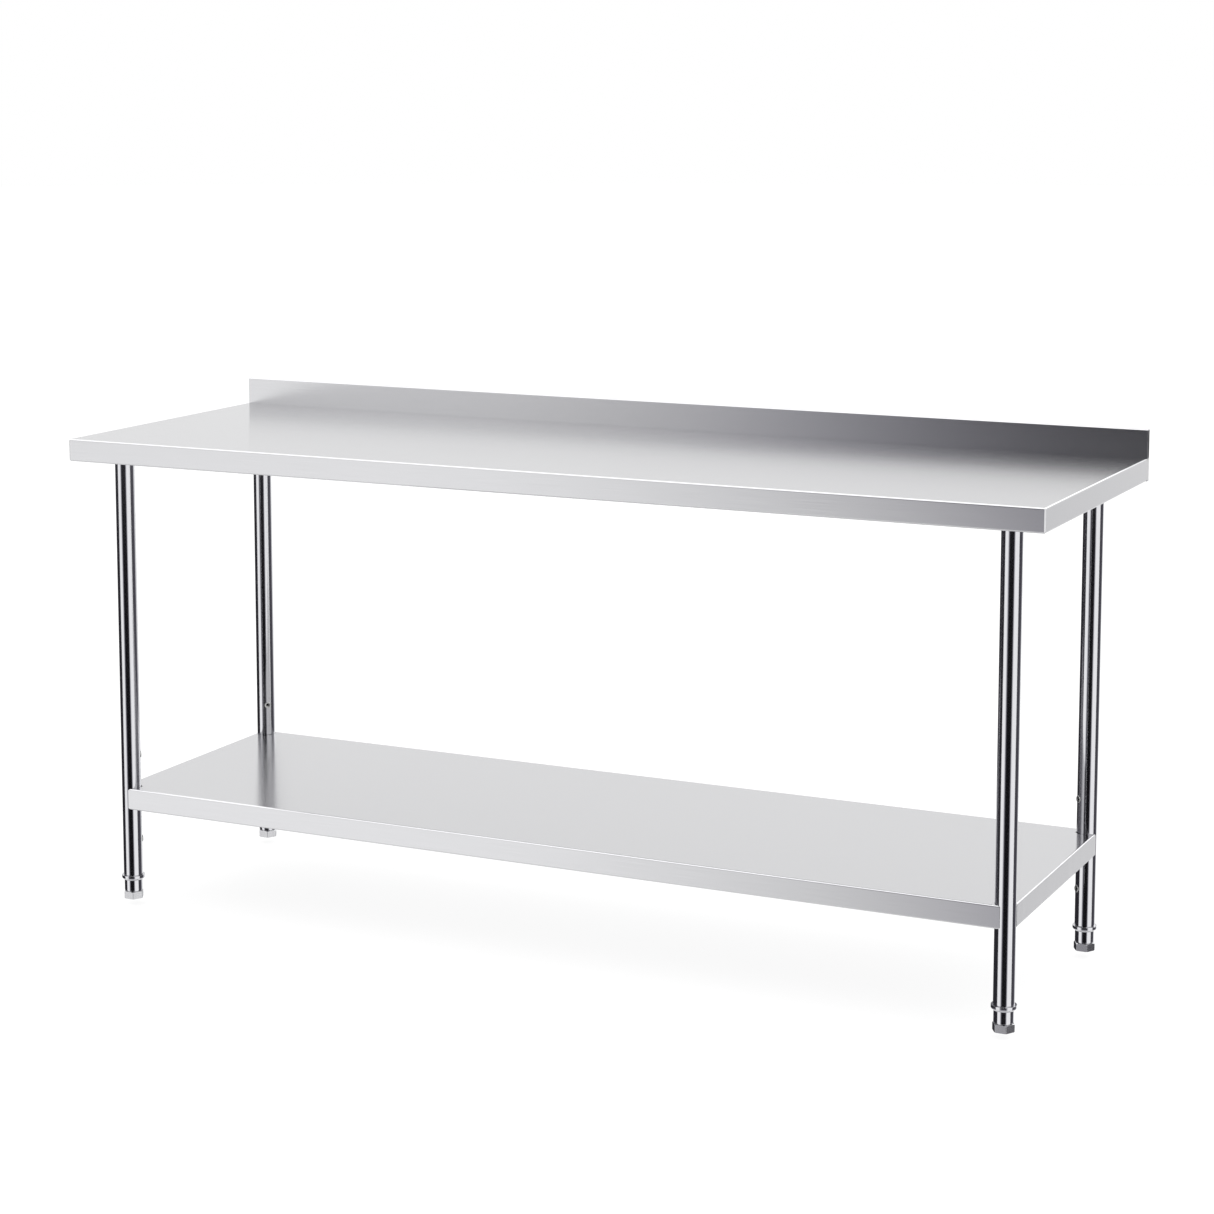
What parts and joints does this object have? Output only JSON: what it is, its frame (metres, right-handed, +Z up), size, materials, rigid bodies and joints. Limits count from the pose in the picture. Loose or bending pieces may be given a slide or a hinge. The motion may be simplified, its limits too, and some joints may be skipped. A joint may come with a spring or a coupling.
{
  "type": "stainless work table",
  "caption": "Freestanding stainless steel work table with low backsplash, tube legs, height-adjustable undershelf and hexagonal screw feet.",
  "frame": {"origin": "on the floor, under the middle of the table's length and depth", "axes": "+X along the length to the right, +Y from the front apron to the wall side, +Z up"},
  "size_m": [1.829, 0.61, 0.914],
  "materials": {
    "satin_sheet": "satin, fine grain along the length",
    "polished_tube": "mirror-polished stainless tube",
    "channel_steel": "mill finish",
    "fastener_steel": "bright stainless",
    "foot_steel": "machined, matte",
    "nylon_plug": "natural nylon"
  },
  "bodies": {
    "table": {"worktop": "satin_sheet", "end_channel_left": "channel_steel", "end_channel_right": "channel_steel", "long_channel": "channel_steel", "weld_studs": "fastener_steel", "stud_nuts": "fastener_steel", "leg_socket_front_left": "channel_steel", "leg_socket_front_right": "channel_steel", "leg_socket_rear_left": "channel_steel", "leg_socket_rear_right": "channel_steel", "socket_screws": "fastener_steel", "leg_front_left": "polished_tube", "leg_front_right": "polished_tube", "leg_rear_left": "polished_tube", "leg_rear_right": "polished_tube", "rivet_nuts": "fastener_steel", "foot_collar_front_left": "polished_tube", "foot_collar_front_right": "polished_tube", "foot_collar_rear_left": "polished_tube", "foot_collar_rear_right": "polished_tube", "foot_insert_front_left": "nylon_plug", "foot_insert_front_right": "nylon_plug", "foot_insert_rear_left": "nylon_plug", "foot_insert_rear_right": "nylon_plug"},
    "shelf": {"shelf_pan": "satin_sheet", "shelf_channel": "channel_steel", "shelf_bracket_front_left": "channel_steel", "shelf_bracket_front_right": "channel_steel", "shelf_bracket_rear_left": "channel_steel", "shelf_bracket_rear_right": "channel_steel", "shelf_washers": "fastener_steel", "shelf_bolts": "fastener_steel"},
    "sleeve_front_left": {"foot_sleeve_front_left": "polished_tube"},
    "screw_foot_front_left": {"foot_hex_front_left": "foot_steel", "foot_stud_front_left": "fastener_steel"},
    "sleeve_front_right": {"foot_sleeve_front_right": "polished_tube"},
    "screw_foot_front_right": {"foot_hex_front_right": "foot_steel", "foot_stud_front_right": "fastener_steel"},
    "sleeve_rear_left": {"foot_sleeve_rear_left": "polished_tube"},
    "screw_foot_rear_left": {"foot_hex_rear_left": "foot_steel", "foot_stud_rear_left": "fastener_steel"},
    "sleeve_rear_right": {"foot_sleeve_rear_right": "polished_tube"},
    "screw_foot_rear_right": {"foot_hex_rear_right": "foot_steel", "foot_stud_rear_right": "fastener_steel"}
  },
  "joints": [
    {"name": "shelf_height", "type": "slide", "parent": "table", "child": "shelf", "axis": [0, 0, 1], "range_m": [-0.08, 0.08]},
    {"name": "foot_height_front_left", "type": "slide", "parent": "table", "child": "sleeve_front_left", "axis": [0, 0, 1], "range_m": [-0.012, 0.018]},
    {"name": "foot_turn_front_left", "type": "hinge", "parent": "sleeve_front_left", "child": "screw_foot_front_left", "pos_m": [-0.841, -0.237, 0], "axis": [0, 0, 1], "range_deg": [-2161, 3241]},
    {"name": "foot_height_front_right", "type": "slide", "parent": "table", "child": "sleeve_front_right", "axis": [0, 0, 1], "range_m": [-0.012, 0.018]},
    {"name": "foot_turn_front_right", "type": "hinge", "parent": "sleeve_front_right", "child": "screw_foot_front_right", "pos_m": [0.841, -0.237, 0], "axis": [0, 0, 1], "range_deg": [-2161, 3241]},
    {"name": "foot_height_rear_left", "type": "slide", "parent": "table", "child": "sleeve_rear_left", "axis": [0, 0, 1], "range_m": [-0.012, 0.018]},
    {"name": "foot_turn_rear_left", "type": "hinge", "parent": "sleeve_rear_left", "child": "screw_foot_rear_left", "pos_m": [-0.841, 0.225, 0], "axis": [0, 0, 1], "range_deg": [-2161, 3241]},
    {"name": "foot_height_rear_right", "type": "slide", "parent": "table", "child": "sleeve_rear_right", "axis": [0, 0, 1], "range_m": [-0.012, 0.018]},
    {"name": "foot_turn_rear_right", "type": "hinge", "parent": "sleeve_rear_right", "child": "screw_foot_rear_right", "pos_m": [0.841, 0.225, 0], "axis": [0, 0, 1], "range_deg": [-2161, 3241]}
  ],
  "couplings": [
    {"joint": "foot_turn_front_left", "follows": "foot_height_front_left", "rad_per_m": 3141.6},
    {"joint": "foot_turn_front_right", "follows": "foot_height_front_right", "rad_per_m": 3141.6},
    {"joint": "foot_turn_rear_left", "follows": "foot_height_rear_left", "rad_per_m": 3141.6},
    {"joint": "foot_turn_rear_right", "follows": "foot_height_rear_right", "rad_per_m": 3141.6}
  ]
}
